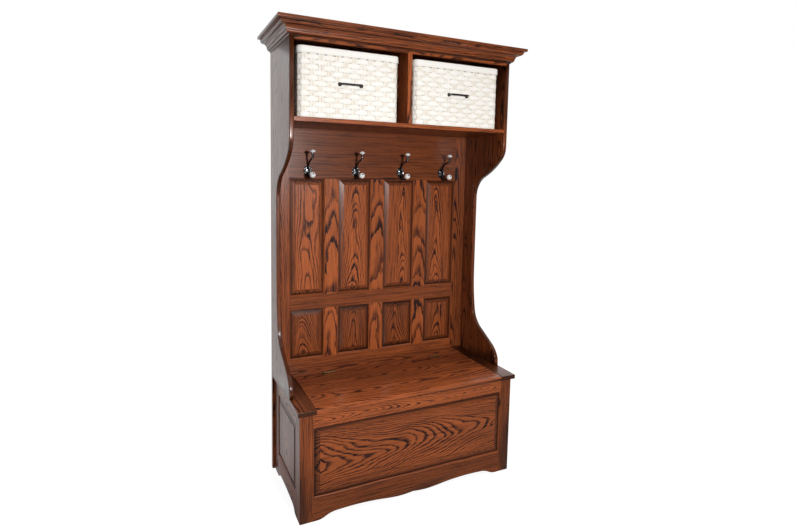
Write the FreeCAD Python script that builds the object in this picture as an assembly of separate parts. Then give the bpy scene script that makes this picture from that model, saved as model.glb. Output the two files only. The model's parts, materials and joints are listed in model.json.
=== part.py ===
import FreeCAD, Part
import math
import os

# Hall tree: a chest seat with a framed-and-panelled back, scrolled sides, coat hooks,
# and a top shelf with two baskets under a moulded crown. Millimetres, +Z up, front
# faces -Y. The origin is the middle of the footprint on the floor.

V = FreeCAD.Vector

# ---- overall sizes ---------------------------------------------------------------
overall_height = 1981.0      # floor to the top of the crown board
case_width = 1036.0          # outside of the scrolled sides, seat caps and back frame
cap_side_overhang = 12.0     # caps past the sides of the chest
base_depth = 465.0           # front of the chest to the wall
seat_height = 471.0          # top of the lid and caps
seat_overhang = 15.0         # lid and caps past the front of the chest
upper_setback = 118.0        # front of the chest back to the front of the upper case

# ---- board thicknesses -----------------------------------------------------------
frame_thickness = 20.0       # stiles and rails
seat_thickness = 19.0        # lid, caps and back strip
side_thickness = 18.0        # scrolled sides
shelf_thickness = 18.0
divider_thickness = 18.8
crown_board_thickness = 13.0
floor_board_thickness = 12.0
thin_panel_thickness = 6.0

# ---- frame-and-panel work ----------------------------------------------------------
lip = 5.0                    # moulded inner edge of every frame, width and depth
groove_width = 6.4
groove_setback = 7.0         # face of the frame to the groove
groove_reach = 9.0           # groove depth past the inner edge of the lip
tongue_thickness = 6.0
tongue_reach = 8.0
panel_bevel = 24.0           # width of the sloping border of a raised panel
panel_shoulder = 1.2         # small step at the edge of the raised field
field_setback = 0.8          # raised field behind the face of the frame
edge_round = 1.5             # softened corners of the frame members

# ---- chest -------------------------------------------------------------------------
front_stile_width = 54.0
side_stile_width = 65.0      # seen from the side, front frame edge included
side_back_stile_width = 67.0
bottom_rail_top = 97.0       # height of the lower edge of the panel opening
top_rail_height = 60.0       # upper edge of the panel opening to the seat boards
foot_width = 66.0            # floor contact of the front, from the corner
side_foot_width = 62.0
arch_height = 25.0
front_ogee = 96.0            # length of the curve from a front foot up to the arch
side_ogee = 58.0
centre_drop = 14.0           # how far the front arch comes down again in the middle
centre_lobe = 76.0           # half width of the part that comes down
lobe_rise = 4.5              # its middle above its edges
lobe_bow = 0.8               # the same, half way to the middle
arch_crest_share = 0.343     # highest point of a front arch, of the way to the lobe
arch_fall_share = 0.709      # where it starts to fall, of the same way
chest_floor_height = 72.0    # underside of the chest's floor board
cleat_size = 20.0
floor_board_gap = 0.5

# ---- seat --------------------------------------------------------------------------
cap_width = 74.0
lid_side_gap = 1.5
lid_rest_gap = 0.3
back_strip_width = 107.0     # fixed board between the lid and the back frame
hinge_gap = 3.0              # between the lid and the back strip
seat_round = 3.0
batten_width = 60.0
batten_thickness = 18.0
batten_front = 45.0          # front of the chest to the battens
batten_back_gap = 35.0       # battens to the lid's back edge
batten_spacing = 560.0

# ---- hinges ------------------------------------------------------------------------
hinge_spacing = 556.0
hinge_length = 66.0
leaf_thickness = 1.2
leaf_height = 17.0
leaf_drop = 2.0              # top of the leaves below the seat's top
barrel_radius = 3.2
pin_radius = 1.5
pin_running_gap = 0.15
knuckle_count = 5
knuckle_gap = 0.3
barrel_lift = 0.5            # barrel clear of the seat's top
screw_head_radius = 2.9
screw_radius = 1.5
screw_length = 15.0
screw_spacing = 40.0

# ---- back frame --------------------------------------------------------------------
back_stile_margin = 61.5     # visible stile inside each scrolled side
back_member = 66.5           # mullions, mid rail and lower rail
lower_panel_rise = 43.5      # seat to the lower panels' openings
lower_panel_height = 238.5
hook_rail_height = 245.0     # upper panels' openings to the shelf's top
panel_columns = 4
chest_back_floor_gap = 20.0

# ---- scrolled sides ----------------------------------------------------------------
waist_width = 94.0           # narrow part, from its edge to the back frame
side_round = 4.0
scroll_drop = 78.0           # shelf's top to where the scroll leaves the straight front
scroll_rise = 19.0           # seat to where the lower scroll meets the straight foot
# Each scroll from its top as (radius, turn in degrees) or (straight run,), all in
# proportion: the lengths are scaled so that the scroll reaches the waist.
upper_scroll = ((80.0, 48.0), (430.0, 20.0), (105.0, -68.0))
lower_scroll = ((1000.0, -11.0), (112.0, -50.0), (112.0,), (120.0, 30.0), (58.0, 31.0))

# ---- cubby and crown ---------------------------------------------------------------
cubby_height = 354.0         # shelf's top to the top board
crown_height = 50.0
face_rail_height = 61.0
face_rail_thickness = 18.0
crown_board_reach = 56.0     # top board past the case, front and sides
crown_reach = 44.0           # moulding past the case at its top
crown_cut_margin = 10.0      # mitre cuts past the moulding

# ---- coat hooks --------------------------------------------------------------------
hook_drop = 209.5            # shelf's top to the centre of the base plates
hook_plate_width = 37.0
hook_plate_height = 50.0
hook_plate_thickness = 4.0
hook_reach = 84.0            # back plate to the knobs' centres
hook_knob_radius = 13.5
hook_cap_radius = 13.5
hook_cap_height = 15.0
hook_screw_radius = 3.2      # of the heads; the shanks have half of it
hook_screw_head = 1.0        # heads past the plate
hook_screw_length = 14.0     # in the rail
hook_screw_spacing = 22.0
arm_radius = 4.2
stem_bottom = 54.0           # above the plate's centre
stem_top = 80.0
knob_drop = 18.0             # lower knob's centre below the plate's
arm_root = 2.0               # inside the plate, where an arm's centre line starts
lower_arm_root_drop = 6.0
# Centre lines of the arms as (share of the reach, share of a height): the height is the
# stem's foot for the upper arm, and the drop of the knob for the lower.
upper_arm_course = ((0.12, 0.407), (0.44, 0.833), (0.84, 1.037), (0.985, 1.148))
lower_arm_course = ((0.13, 1.333), (0.50, 1.889), (0.93, 1.333))

# ---- baskets -----------------------------------------------------------------------
basket_left_gap = 17.3       # bay's left side to the basket wall
basket_right_gap = 39.3
basket_back_gap = 25.0
basket_top_gap = 17.7        # basket to the rail above it
basket_wall = 5.0
basket_front_setback = 6.0   # shelf front to the basket wall
basket_floor_gap = 0.3
rim_height = 28.0
rim_thickness = 3.0
handle_spacing = 92.0        # between the feet of a pull
handle_reach = 26.0
handle_radius = 4.0
handle_foot_radius = 8.0
handle_foot_thickness = 3.0
handle_bend = 10.0           # bend of the bar's centre line

# ---- derived sizes -----------------------------------------------------------------
base_width = case_width - 2 * cap_side_overhang
y_front = -(base_depth - seat_overhang) / 2        # front face of the chest
y_seat = y_front - seat_overhang
y_wall = y_front + base_depth
y_back = y_wall - frame_thickness                  # face of the back frame
y_upper = y_front + upper_setback                  # front of the upper case
x_case = case_width / 2
x_inner = x_case - side_thickness
x_base = base_width / 2
seat_bottom = seat_height - seat_thickness
case_top = overall_height - crown_board_thickness
x_cap = x_case - cap_width                         # inner edge of each cap
y_strip = y_back - back_strip_width
y_lid_back = y_strip - hinge_gap
y_waist = y_back - waist_width                     # edge of the sides' narrow part
y_hinge = y_lid_back + hinge_gap / 2
z_hinge = seat_height + barrel_lift + barrel_radius
shelf_top = case_top - cubby_height
crown_bottom = case_top - crown_height
face_rail_bottom = case_top - face_rail_height
scroll_top = shelf_top - scroll_drop
scroll_foot = seat_height + scroll_rise
hook_height = shelf_top - hook_drop
upper_panel_top = shelf_top - hook_rail_height
lower_panel_bottom = seat_height + lower_panel_rise
lower_panel_top = lower_panel_bottom + lower_panel_height
top_rail_bottom = seat_bottom - top_rail_height
bay_width = x_inner - divider_thickness / 2
basket_width = bay_width - basket_left_gap - basket_right_gap
basket_depth = y_back - y_upper - basket_front_setback - basket_back_gap
basket_height = face_rail_bottom - shelf_top - basket_floor_gap - basket_top_gap

parts = {}


def keep(name, *solids):
    """Store one named node: one solid, or a group of separate solids."""
    parts[name] = solids[0] if len(solids) == 1 else Part.makeCompound(list(solids))


def block(x0, x1, y0, y1, z0, z1):
    """A box between two opposite corners."""
    return Part.makeBox(x1 - x0, y1 - y0, z1 - z0, V(x0, y0, z0))


def fuse(shapes):
    """One solid from touching shapes, with flat seams merged."""
    return shapes[0].fuse(shapes[1:]).removeSplitter()


def round_edges(shape, radius, wanted):
    """Round the edges that the test `wanted` picks by their box."""
    edges = [edge for edge in shape.Edges if wanted(edge.BoundBox)]
    return shape.makeFillet(radius, edges)


def mirror_x(shape):
    return shape.mirror(V(0, 0, 0), V(1, 0, 0))


def polygon_prism(points, direction):
    """A flat outline of points, pushed along a vector."""
    wire = Part.makePolygon(points + [points[0]])
    return Part.Face(wire).extrude(direction)


def tapered_block(x0, x1, z0, z1, y0, y1, spread):
    """A block whose face at y0 is larger on every side by `spread` than at y1."""
    outer = [V(x0 - spread, y0, z0 - spread), V(x1 + spread, y0, z0 - spread),
             V(x1 + spread, y0, z1 + spread), V(x0 - spread, y0, z1 + spread)]
    inner = [V(x0, y1, z0), V(x1, y1, z0), V(x1, y1, z1), V(x0, y1, z1)]
    loops = [Part.makePolygon(loop + [loop[0]]) for loop in (outer, inner)]
    return Part.makeLoft(loops, True, True)


# ---- frame and panel ---------------------------------------------------------------
# A frame is drawn with its face at y = 0 and its thickness along +Y. An opening is
# (x0, x1, z0, z1) at the face; the lip narrows it by `lip` on each side.

def lip_strips(opening):
    """The moulded inner edge as four strips: left, right, bottom and top."""
    x0, x1, z0, z1 = opening
    return {
        "left": block(x0, x0 + lip, 0, frame_thickness, z0, z1),
        "right": block(x1 - lip, x1, 0, frame_thickness, z0, z1),
        "bottom": block(x0 + lip, x1 - lip, 0, frame_thickness, z0, z0 + lip),
        "top": block(x0 + lip, x1 - lip, 0, frame_thickness, z1 - lip, z1),
    }


def opening_cut(opening):
    """What a panel opening takes from its frame: the slope of the lip and the groove."""
    x0, x1, z0, z1 = opening
    slope = tapered_block(x0 + lip, x1 - lip, z0 + lip, z1 - lip, 0, lip, lip)
    grow = groove_reach - lip
    groove = block(x0 - grow, x1 + grow, groove_setback, groove_setback + groove_width,
                   z0 - grow, z1 + grow)
    return slope.fuse(groove)


def frame_member(body, sides):
    """One stile or rail: its board, plus the lip on the sides named, less the grooves."""
    strips = [lip_strips(opening)[side] for opening, side in sides]
    member = fuse([body] + strips) if strips else body
    for opening, _side in sides:
        member = member.cut(opening_cut(opening))
    return member


def raised_panel(opening):
    """A panel with a tongue in the groove, a sloping border and a raised field."""
    x0, x1, z0, z1 = opening
    x0, x1, z0, z1 = x0 + lip, x1 - lip, z0 + lip, z1 - lip
    float_gap = (groove_width - tongue_thickness) / 2
    tongue_face = groove_setback + float_gap
    tongue_back = tongue_face + tongue_thickness
    reach = tongue_reach
    tongue = block(x0 - reach, x1 + reach, tongue_face, tongue_back, z0 - reach, z1 + reach)
    f0, f1, g0, g1 = x0 + panel_bevel, x1 - panel_bevel, z0 + panel_bevel, z1 - panel_bevel
    field = block(f0, f1, field_setback, tongue_back, g0, g1)
    top_of_slope = field_setback + panel_shoulder
    outer = [V(x0, tongue_face, z0), V(x1, tongue_face, z0),
             V(x1, tongue_face, z1), V(x0, tongue_face, z1)]
    inner = [V(f0, top_of_slope, g0), V(f1, top_of_slope, g0),
             V(f1, top_of_slope, g1), V(f0, top_of_slope, g1)]
    loops = [Part.makePolygon(loop + [loop[0]]) for loop in (outer, inner)]
    slope = Part.makeLoft(loops, True, True)
    return fuse([tongue, slope, field])


def placed(shape, origin, turn=0.0):
    """Turn a shape about the Z axis, then move it."""
    moved = shape.copy()
    moved.rotate(V(0, 0, 0), V(0, 0, 1), turn)
    moved.translate(origin)
    return moved


# ---- chest -------------------------------------------------------------------------

def arch_side(foot, inset, rise):
    """Half of an arched skirt: from the foot, an ogee up to the arch's full height."""
    return [
        Part.Arc(V(foot, 0, 0), V(foot + 0.24 * inset, 0, 0.10 * rise),
                 V(foot + 0.44 * inset, 0, 0.42 * rise)),
        Part.Arc(V(foot + 0.44 * inset, 0, 0.42 * rise),
                 V(foot + 0.66 * inset, 0, 0.76 * rise), V(foot + inset, 0, 0.93 * rise)),
    ]


def front_skirt_cut():
    """The open space under the front rail: two shallow arches and a drop between."""
    half = x_base
    start = foot_width
    crest = start + front_ogee
    low = arch_height - centre_drop
    lobe = half - centre_lobe
    top = crest + arch_crest_share * (lobe - crest)
    fall = crest + arch_fall_share * (lobe - crest)
    curves = arch_side(start, front_ogee, arch_height)
    curves.append(Part.Arc(V(crest, 0, 0.93 * arch_height), V(top, 0, arch_height),
                           V(fall, 0, 0.75 * arch_height)))
    curves.append(Part.Arc(V(fall, 0, 0.75 * arch_height),
                           V((fall + lobe) / 2, 0, 0.5 * (0.70 * arch_height + low)),
                           V(lobe, 0, low)))
    curves.append(Part.Arc(V(lobe, 0, low), V((lobe + half) / 2, 0, low + lobe_bow),
                           V(half, 0, low + lobe_rise)))
    return skirt_solid(curves, half, start)


def side_skirt_cut(length):
    """The open space under a side rail: one shallow arch."""
    half = length / 2
    crest = side_foot_width + side_ogee
    curves = arch_side(side_foot_width, side_ogee, arch_height)
    curves.append(Part.Arc(V(crest, 0, 0.93 * arch_height),
                           V((crest + half) / 2, 0, 1.04 * arch_height),
                           V(half, 0, 1.08 * arch_height)))
    return skirt_solid(curves, half, side_foot_width)


def skirt_solid(curves, half, start):
    """Close half an outline along the floor, mirror it at `half`, and give it thickness."""
    below = -10.0
    top = curves[-1].toShape().Vertexes[-1].Point
    edges = [curve.toShape() for curve in curves]
    edges.append(Part.makeLine(top, V(half, 0, below)))
    edges.append(Part.makeLine(V(half, 0, below), V(start, 0, below)))
    edges.append(Part.makeLine(V(start, 0, below), V(start, 0, 0)))
    face = Part.Face(Part.Wire(edges))
    solid = face.extrude(V(0, frame_thickness, 0))
    other = solid.mirror(V(half, 0, 0), V(1, 0, 0))
    return fuse([solid, other])


def chest_front():
    x_stile = x_base - front_stile_width
    opening = (-x_stile, x_stile, bottom_rail_top, top_rail_bottom)
    at = V(0, y_front, 0)
    stile = block(x_stile, x_base, 0, frame_thickness, 0, seat_bottom)
    stile = round_edges(stile, edge_round, lambda b: b.XMin > x_base - 0.01 and b.YMax < 0.01
                        and b.ZLength > 1)
    right = frame_member(stile, [(opening, "right")])
    keep("base_front_stile_right", placed(right, at))
    keep("base_front_stile_left", placed(mirror_x(right), at))
    top = block(-x_stile, x_stile, 0, frame_thickness, top_rail_bottom, seat_bottom)
    keep("base_front_top_rail", placed(frame_member(top, [(opening, "top")]), at))
    bottom = block(-x_stile, x_stile, 0, frame_thickness, 0, bottom_rail_top)
    bottom = frame_member(bottom, [(opening, "bottom")])
    skirt = front_skirt_cut()
    skirt.translate(V(-x_base, 0, 0))
    keep("base_front_bottom_rail", placed(bottom.cut(skirt), at))
    keep("base_front_panel", placed(raised_panel(opening), at))


def chest_sides():
    """Each side is drawn facing -Y with its front at x = 0, then turned into place."""
    length = y_back - y_front
    front_width = side_stile_width
    back_start = length - side_back_stile_width
    opening = (front_width, back_start, bottom_rail_top, top_rail_bottom)
    front = block(frame_thickness, front_width, 0, frame_thickness, 0, seat_bottom)
    back = block(back_start, length, 0, frame_thickness, 0, seat_bottom)
    top = block(front_width, back_start, 0, frame_thickness, top_rail_bottom, seat_bottom)
    bottom = block(front_width, back_start, 0, frame_thickness, 0, bottom_rail_top)
    skirt = side_skirt_cut(length)
    pieces = {
        "stile_front": frame_member(front, [(opening, "left")]),
        "stile_back": frame_member(back, [(opening, "right")]).cut(skirt),
        "top_rail": frame_member(top, [(opening, "top")]),
        "bottom_rail": frame_member(bottom, [(opening, "bottom")]).cut(skirt),
        "panel": raised_panel(opening),
    }
    for hand in ("left", "right"):
        if hand == "right":
            set_up = {name: placed(shape, V(x_base, y_front, 0), 90)
                      for name, shape in pieces.items()}
        else:
            set_up = {name: mirror_x(placed(shape, V(x_base, y_front, 0), 90))
                      for name, shape in pieces.items()}
        keep(f"base_{hand}_stiles", set_up["stile_front"], set_up["stile_back"])
        keep(f"base_{hand}_top_rail", set_up["top_rail"])
        keep(f"base_{hand}_bottom_rail", set_up["bottom_rail"])
        keep(f"base_{hand}_panel", set_up["panel"])


def chest_floor():
    x_in = x_base - frame_thickness
    y_in = y_front + frame_thickness
    gap = floor_board_gap
    board_top = chest_floor_height + floor_board_thickness
    keep("chest_bottom", block(-x_in + gap, x_in - gap, y_in + gap, y_back - gap,
                               chest_floor_height, board_top))
    z0 = chest_floor_height - cleat_size
    size = cleat_size
    keep("chest_bottom_cleats",
         block(-x_in, x_in, y_in, y_in + size, z0, chest_floor_height),
         block(-x_in, x_in, y_back - size, y_back, z0, chest_floor_height),
         block(-x_in, -x_in + size, y_in + size, y_back - size, z0, chest_floor_height),
         block(x_in - size, x_in, y_in + size, y_back - size, z0, chest_floor_height))


# ---- seat --------------------------------------------------------------------------

def seat_boards():
    cap = block(x_cap, x_case, y_seat, y_back, seat_bottom, seat_height)
    cap = round_edges(cap, seat_round, lambda b: b.ZMin > seat_height - 0.01
                      and (b.XMin > x_case - 0.01 or b.YMax < y_seat + 0.01
                           or b.XMax < x_cap + 0.01))
    keep("seat_caps", mirror_x(cap), cap)
    strip = block(-x_cap, x_cap, y_strip, y_back, seat_bottom, seat_height)
    strip = round_edges(strip, edge_round, lambda b: b.ZMin > seat_height - 0.01
                        and b.YMax < y_strip + 0.01)
    keep("seat_back_strip", strip.cut(hinge_screw_holes(+1)))
    x_lid = x_cap - lid_side_gap
    lid = block(-x_lid, x_lid, y_seat, y_lid_back, seat_bottom + lid_rest_gap, seat_height)
    lid = round_edges(lid, seat_round, lambda b: b.ZMin > seat_height - 0.01
                      and (b.YMax < y_seat + 0.01 or b.YLength > 50))
    lid = round_edges(lid, edge_round, lambda b: b.ZMax < seat_bottom + lid_rest_gap + 0.01
                      and b.YMax < y_seat + 0.01)
    keep("seat_lid", lid.cut(hinge_screw_holes(-1)))
    z1 = seat_bottom + lid_rest_gap
    z0 = z1 - batten_thickness
    battens = [block(x - batten_width / 2, x + batten_width / 2, y_front + batten_front,
                     y_lid_back - batten_back_gap, z0, z1)
               for x in (-batten_spacing / 2, batten_spacing / 2)]
    keep("lid_battens", *battens)


# ---- hinges ------------------------------------------------------------------------
# side is +1 for the fixed leaf on the back strip and -1 for the leaf on the lid.

def hinge_centres():
    return (-hinge_spacing / 2, hinge_spacing / 2)


def along_y(radius, y0, y1, x, z):
    """A round bar along Y from y0 to y1."""
    low, high = min(y0, y1), max(y0, y1)
    return Part.makeCylinder(radius, high - low, V(x, low, z), V(0, 1, 0))


def along_x(radius, x0, x1, y, z):
    return Part.makeCylinder(radius, x1 - x0, V(x0, y, z), V(1, 0, 0))


def leaf_face(side):
    """Plane where a leaf meets its board."""
    return y_strip if side > 0 else y_lid_back


def screw_places(side):
    z = seat_height - leaf_drop - leaf_height / 2
    return [(x + step, z) for x in hinge_centres()
            for step in (-screw_spacing / 2, screw_spacing / 2)]


def hinge_screw_holes(side):
    """Pilot holes for the hinge screws in the lid or the strip."""
    face = leaf_face(side)
    holes = [along_y(screw_radius, face, face + side * screw_length, x, z)
             for x, z in screw_places(side)]
    return Part.makeCompound(holes)


def hinge_leaf(side, centre):
    """A plate against its board, with its own knuckles round the pin."""
    x0 = centre - hinge_length / 2
    face = leaf_face(side)
    inner = face - side * leaf_thickness
    low, high = min(face, inner), max(face, inner)
    top = seat_height - leaf_drop
    plate = block(x0, x0 + hinge_length, low, high, top - leaf_height, top)
    pitch = hinge_length / knuckle_count
    bore = pin_radius if side > 0 else pin_radius + pin_running_gap
    first = 0 if side > 0 else 1
    pieces = [plate]
    for index in range(first, knuckle_count, 2):
        a = x0 + index * pitch + (knuckle_gap / 2 if index else 0)
        b = x0 + (index + 1) * pitch - (knuckle_gap / 2 if index < knuckle_count - 1 else 0)
        pieces.append(block(a, b, low, high, top - 1, z_hinge))
        pieces.append(along_x(barrel_radius, a, b, y_hinge, z_hinge))
    leaf = fuse(pieces)
    leaf = leaf.cut(along_x(bore, x0 - 1, x0 + hinge_length + 1, y_hinge, z_hinge))
    for x, z in screw_places(side):
        leaf = leaf.cut(along_y(screw_head_radius, low - 1, high + 1, x, z))
    return leaf


def hinge_screws(side):
    face = leaf_face(side)
    screws = []
    for x, z in screw_places(side):
        head = along_y(screw_head_radius, face, face - side * leaf_thickness, x, z)
        shank = along_y(screw_radius, face, face + side * screw_length, x, z)
        screws.append(fuse([head, shank]))
    return screws


def hinges():
    for name, side in (("fixed", +1), ("lid", -1)):
        keep(f"hinge_leaves_{name}", *[hinge_leaf(side, x) for x in hinge_centres()])
        keep(f"hinge_screws_{name}", *hinge_screws(side))
    half = hinge_length / 2
    keep("hinge_pins", *[along_x(pin_radius, x - half, x + half, y_hinge, z_hinge)
                         for x in hinge_centres()])


# ---- back frame --------------------------------------------------------------------

def back_openings():
    """Openings of the back frame by row, from left to right."""
    inside = 2 * (x_inner - back_stile_margin)
    width = (inside - (panel_columns - 1) * back_member) / panel_columns
    rows = {"upper": (lower_panel_top + back_member, upper_panel_top),
            "lower": (lower_panel_bottom, lower_panel_top)}
    found = {}
    for row, (z0, z1) in rows.items():
        starts = [-inside / 2 + i * (width + back_member) for i in range(panel_columns)]
        found[row] = [(x, x + width, z0, z1) for x in starts]
    return found


def back_frame():
    at = V(0, y_back, 0)
    rows = back_openings()
    upper, lower = rows["upper"], rows["lower"]
    x_stile = x_inner - back_stile_margin
    stile = block(x_stile, x_case, 0, frame_thickness, 0, case_top)
    right = frame_member(stile, [(upper[-1], "right"), (lower[-1], "right")])
    keep("back_stile_right", placed(right, at))
    keep("back_stile_left", placed(mirror_x(right), at))
    hook_rail = block(-x_stile, x_stile, 0, frame_thickness, upper_panel_top, shelf_top)
    hook_rail = frame_member(hook_rail, [(o, "top") for o in upper])
    keep("back_hook_rail", placed(hook_rail.cut(hook_screw_holes()), at))
    mid = block(-x_stile, x_stile, 0, frame_thickness, lower_panel_top,
                lower_panel_top + back_member)
    sides = [(o, "bottom") for o in upper] + [(o, "top") for o in lower]
    keep("back_mid_rail", placed(frame_member(mid, sides), at))
    rail_bottom = lower_panel_bottom - back_member
    low = block(-x_stile, x_stile, 0, frame_thickness, rail_bottom, lower_panel_bottom)
    keep("back_bottom_rail", placed(frame_member(low, [(o, "bottom") for o in lower]), at))
    mullions = []
    for row in (upper, lower):
        for left, right_of in zip(row, row[1:]):
            body = block(left[1], right_of[0], 0, frame_thickness, left[2], left[3])
            mullion = frame_member(body, [(left, "right"), (right_of, "left")])
            mullions.append(placed(mullion, at))
    keep("back_mullions", *mullions)
    for row, openings in rows.items():
        for index, opening in enumerate(openings, start=1):
            keep(f"back_{row}_panel_{index}", placed(raised_panel(opening), at))
    y0 = y_back + (frame_thickness - thin_panel_thickness) / 2
    y1 = y0 + thin_panel_thickness
    keep("chest_back_panel", block(-x_stile, x_stile, y0, y1, chest_back_floor_gap,
                                   rail_bottom))
    keep("cubby_back_panel", block(-x_stile, x_stile, y0, y1, shelf_top, case_top))


# ---- scrolled sides ----------------------------------------------------------------

def turn_arc(point, heading, radius, turn):
    """An arc from a point along a heading; a positive turn bends it left (degrees).

    Points are (y, z). Returns the edge, its end point and the new heading.
    """
    sign = 1 if turn > 0 else -1
    normal = math.radians(heading + 90 * sign)
    centre = (point[0] + radius * math.cos(normal), point[1] + radius * math.sin(normal))

    def on_arc(angle):
        spoke = math.radians(heading + angle - 90 * sign)
        return (centre[0] + radius * math.cos(spoke), centre[1] + radius * math.sin(spoke))

    middle, end = on_arc(turn / 2), on_arc(turn)
    edge = Part.Arc(V(0, *point), V(0, *middle), V(0, *end)).toShape()
    return edge, end, heading + turn


def chain(point, heading, steps):
    """Arcs and straight runs joined tangent to each other, as (radius, turn) or (run,)."""
    edges = []
    for step in steps:
        if len(step) == 1:
            angle = math.radians(heading)
            end = (point[0] + step[0] * math.cos(angle), point[1] + step[0] * math.sin(angle))
            edges.append(Part.makeLine(V(0, *point), V(0, *end)))
            point = end
        else:
            edge, point, heading = turn_arc(point, heading, *step)
            edges.append(edge)
    return edges, point


def scroll_end(steps):
    """How far a chain of steps that starts downwards goes along Y and Z."""
    _edges, end = chain((0.0, 0.0), -90, steps)
    return end


def scaled_scroll(steps, reach):
    """The same steps, with their lengths scaled until the chain goes `reach` along Y."""
    size = reach / scroll_end(steps)[0]
    return [(step[0] * size, *step[1:]) for step in steps]


def scrolled_side():
    """The outline from the front: straight, out to the waist, and back to the foot."""
    reach = y_waist - y_upper
    upper = scaled_scroll(upper_scroll, reach)
    lower = scaled_scroll(lower_scroll, -reach)
    drop = scroll_end(lower)[1]
    y0 = y_upper
    edges, after_top = chain((y0, scroll_top), -90, upper)
    start_low = (after_top[0], scroll_foot - drop)
    low_edges, end_low = chain(start_low, -90, lower)
    outline = [Part.makeLine(V(0, y0, case_top), V(0, y0, scroll_top))] + edges
    outline.append(Part.makeLine(V(0, *after_top), V(0, *start_low)))
    outline += low_edges
    outline.append(Part.makeLine(V(0, *end_low), V(0, end_low[0], seat_height)))
    outline.append(Part.makeLine(V(0, end_low[0], seat_height), V(0, y_back, seat_height)))
    outline.append(Part.makeLine(V(0, y_back, seat_height), V(0, y_back, case_top)))
    outline.append(Part.makeLine(V(0, y_back, case_top), V(0, y0, case_top)))
    face = Part.Face(Part.Wire(outline))
    board = face.extrude(V(side_thickness, 0, 0))
    board.translate(V(x_inner, 0, 0))
    edges = [edge for edge in board.Edges
             if edge.BoundBox.XLength < 0.01 and edge.BoundBox.YMax < y_back - 1
             and edge.BoundBox.ZLength > 1]
    return board.makeFillet(side_round, edges)


def sides():
    board = scrolled_side()
    keep("side_panel_right", board)
    keep("side_panel_left", mirror_x(board))


# ---- cubby and crown ---------------------------------------------------------------

def cubby():
    shelf = block(-x_inner, x_inner, y_upper, y_back, shelf_top - shelf_thickness, shelf_top)
    shelf = round_edges(shelf, edge_round, lambda b: b.YMax < y_upper + 0.01
                        and b.XLength > 1)
    keep("cubby_shelf", shelf)
    half = divider_thickness / 2
    behind = y_upper + face_rail_thickness
    front = block(-half, half, y_upper, behind, shelf_top, face_rail_bottom)
    rest = block(-half, half, behind, y_back, shelf_top, case_top)
    keep("cubby_divider", fuse([front, rest]))
    keep("cubby_face_rail", block(-x_inner, x_inner, y_upper, behind, face_rail_bottom,
                                  case_top))


def crown_profile():
    """Section of the moulding as (reach, height), top first: step, cove and bead."""
    top = case_top
    drop = case_top - crown_bottom
    reach = crown_reach

    def at(out, down):
        return V(out * reach, 0, top - down * drop)

    return [
        Part.makeLine(at(0, 0), at(1, 0)),
        Part.makeLine(at(1, 0), at(1, 0.09)),
        Part.Arc(at(1, 0.09), at(0.93, 0.24), at(0.77, 0.33)).toShape(),
        Part.makeLine(at(0.77, 0.33), at(0.70, 0.33)),
        Part.Arc(at(0.70, 0.33), at(0.46, 0.44), at(0.37, 0.66)).toShape(),
        Part.makeLine(at(0.37, 0.66), at(0.33, 0.66)),
        Part.Arc(at(0.33, 0.66), at(0.30, 0.80), at(0.19, 0.90)).toShape(),
        Part.makeLine(at(0.19, 0.90), at(0.10, 0.90)),
        Part.makeLine(at(0.10, 0.90), at(0.06, 1.0)),
        Part.makeLine(at(0.06, 1.0), at(0, 1.0)),
        Part.makeLine(at(0, 1.0), at(0, 0)),
    ]


def crown():
    face = Part.Face(Part.Wire(crown_profile()))
    far = crown_reach + crown_cut_margin
    height = V(0, 0, overall_height)
    run = case_width + 2 * far
    side = face.extrude(V(0, base_depth, 0))
    side.translate(V(x_case, y_upper - far, 0))
    plan = [V(x_case, y_upper, 0), V(x_case, y_wall, 0), V(x_case + far, y_wall, 0),
            V(x_case + far, y_upper - far, 0)]
    side = side.common(polygon_prism(plan, height))
    keep("crown_returns", mirror_x(side), side)
    front = face.extrude(V(0, run, 0))
    front.rotate(V(0, 0, 0), V(0, 0, 1), -90)
    front.translate(V(-run / 2, y_upper, 0))
    plan = [V(-x_case, y_upper, 0), V(x_case, y_upper, 0),
            V(x_case + far, y_upper - far, 0), V(-x_case - far, y_upper - far, 0)]
    keep("crown_front", front.common(polygon_prism(plan, height)))
    x_top = x_case + crown_board_reach
    y_top = y_upper - crown_board_reach
    board = block(-x_top, x_top, y_top, y_wall, case_top, overall_height)
    board = round_edges(board, seat_round, lambda b: b.YMax < y_wall - 0.01 and b.ZLength < 1
                        or b.YLength > 1 and b.XLength < 1 and b.ZLength < 1)
    keep("top_board", board)


# ---- coat hooks --------------------------------------------------------------------

def hook_places():
    """Middle of each panel column."""
    return [(o[0] + o[1]) / 2 for o in back_openings()["upper"]]


def hook_screw_places():
    """Two screws to each hook, one either side of its arm."""
    return [(x + step, hook_height) for x in hook_places()
            for step in (-hook_screw_spacing / 2, hook_screw_spacing / 2)]


def hook_screw_holes():
    """Pilot holes in the hook rail, drawn with the rail's face at y = 0."""
    holes = [along_y(hook_screw_radius / 2, 0, hook_screw_length, x, z)
             for x, z in hook_screw_places()]
    return Part.makeCompound(holes)


def swept_arm(points, radius):
    """A round arm through points in the YZ plane, as one smooth curve."""
    path = Part.BSplineCurve()
    path.interpolate([V(0, y, z) for y, z in points])
    edge = path.toShape()
    start = edge.tangentAt(edge.FirstParameter)
    ring = Part.Wire(Part.Circle(V(0, *points[0]), start, radius).toShape())
    return Part.Wire(edge).makePipeShell([ring], True, True)


def hook_plate():
    """An oval plate against the rail's face at y = 0, bored for its two screws."""
    plate = Part.makeCylinder(hook_plate_height / 2, hook_plate_thickness,
                              V(0, -hook_plate_thickness, 0), V(0, 1, 0))
    squeeze = FreeCAD.Matrix()
    squeeze.scale(hook_plate_width / hook_plate_height, 1, 1)
    plate = plate.transformGeometry(squeeze)
    for x in (-hook_screw_spacing / 2, hook_screw_spacing / 2):
        plate = plate.cut(along_y(hook_screw_radius, -hook_plate_thickness - 2, 1, x, 0))
    return plate


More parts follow.
